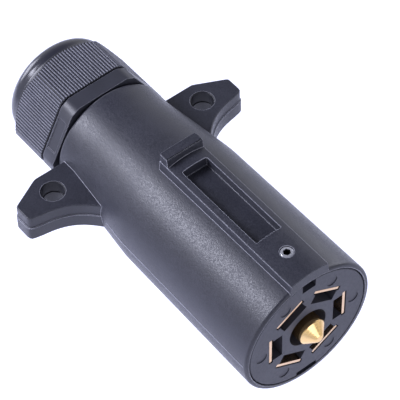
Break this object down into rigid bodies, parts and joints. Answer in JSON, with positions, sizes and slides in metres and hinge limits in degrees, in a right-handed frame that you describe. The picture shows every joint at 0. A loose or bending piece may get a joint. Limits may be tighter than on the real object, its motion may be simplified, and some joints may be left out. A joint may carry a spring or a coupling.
{
  "type": "trailer wiring connector",
  "caption": "Round trailer wiring plug with mounting ears, a latch pad, a removable core of blade contacts round a centre pin, and a rear cable gland.",
  "frame": {"origin": "centre of the front rim's plane on the plug's own axis", "axes": "+X out of the mating face along the plug's axis, +Z towards the latch pad, +Y to the right of somebody facing the contacts"},
  "size_m": [0.1349, 0.0848, 0.053],
  "materials": {
    "moulded_nylon": "glass-filled nylon, fine moulded grain",
    "gland_cage_nylon": "natural moulded nylon, black",
    "seal_rubber": "moulded elastomer, matt",
    "insulator_nylon": "moulded insulator nylon, smooth matt",
    "blade_brass": "stamped strip, sheared edges",
    "pin_brass": "turned, fine circular lay",
    "bush_brass": "turned and knurled, dull",
    "plated_steel": "zinc-plated machined screw"
  },
  "bodies": {
    "shell": {"housing": "moulded_nylon", "gland_body": "moulded_nylon", "gland_gasket": "seal_rubber", "lock_bush": "bush_brass"},
    "core": {"contact_core": "insulator_nylon", "terminal_block": "insulator_nylon", "blade_contact_1": "blade_brass", "blade_contact_2": "blade_brass", "blade_contact_3": "blade_brass", "blade_contact_4": "blade_brass", "blade_contact_5": "blade_brass", "blade_contact_6": "blade_brass", "centre_pin": "pin_brass", "core_screw_1": "plated_steel", "core_screw_2": "plated_steel"},
    "lock_screw_body": {"lock_screw": "plated_steel"},
    "gland_insert": {"gland_claw": "gland_cage_nylon", "gland_seal": "seal_rubber"},
    "gland_nut_body": {"gland_nut": "moulded_nylon"},
    "terminal_screw_1_body": {"terminal_screw_1": "plated_steel"},
    "terminal_screw_2_body": {"terminal_screw_2": "plated_steel"},
    "terminal_screw_3_body": {"terminal_screw_3": "plated_steel"},
    "terminal_screw_4_body": {"terminal_screw_4": "plated_steel"},
    "terminal_screw_5_body": {"terminal_screw_5": "plated_steel"},
    "terminal_screw_6_body": {"terminal_screw_6": "plated_steel"},
    "terminal_screw_7_body": {"terminal_screw_7": "plated_steel"}
  },
  "joints": [
    {"name": "core_slide", "type": "slide", "parent": "shell", "child": "core", "axis": [1, 0, 0], "range_m": [0, 0.05]},
    {"name": "lock_screw_travel", "type": "slide", "parent": "shell", "child": "lock_screw_body", "axis": [0, 0, 1], "range_m": [0, 0.0045]},
    {"name": "gland_nut_travel", "type": "slide", "parent": "shell", "child": "gland_insert", "axis": [-1, 0, 0], "range_m": [0, 0.008]},
    {"name": "gland_nut_turn", "type": "hinge", "parent": "gland_insert", "child": "gland_nut_body", "pos_m": [-0.115, 0, 0], "axis": [-1, 0, 0], "range_deg": [0, 1440]},
    {"name": "terminal_screw_1_travel", "type": "slide", "parent": "core", "child": "terminal_screw_1_body", "axis": [0, 0.5, 0.866], "range_m": [0, 0.0023]},
    {"name": "terminal_screw_2_travel", "type": "slide", "parent": "core", "child": "terminal_screw_2_body", "axis": [0, 1, 0], "range_m": [0, 0.0023]},
    {"name": "terminal_screw_3_travel", "type": "slide", "parent": "core", "child": "terminal_screw_3_body", "axis": [0, 0.5, -0.866], "range_m": [0, 0.0023]},
    {"name": "terminal_screw_4_travel", "type": "slide", "parent": "core", "child": "terminal_screw_4_body", "axis": [0, -0.5, -0.866], "range_m": [0, 0.0023]},
    {"name": "terminal_screw_5_travel", "type": "slide", "parent": "core", "child": "terminal_screw_5_body", "axis": [0, -1, 0], "range_m": [0, 0.0023]},
    {"name": "terminal_screw_6_travel", "type": "slide", "parent": "core", "child": "terminal_screw_6_body", "axis": [0, -0.5, 0.866], "range_m": [0, 0.0023]},
    {"name": "terminal_screw_7_travel", "type": "slide", "parent": "core", "child": "terminal_screw_7_body", "axis": [0, 0, -1], "range_m": [0, 0.0023]}
  ],
  "couplings": [
    {"joint": "gland_nut_turn", "follows": "gland_nut_travel", "rad_per_m": 3141.6}
  ]
}
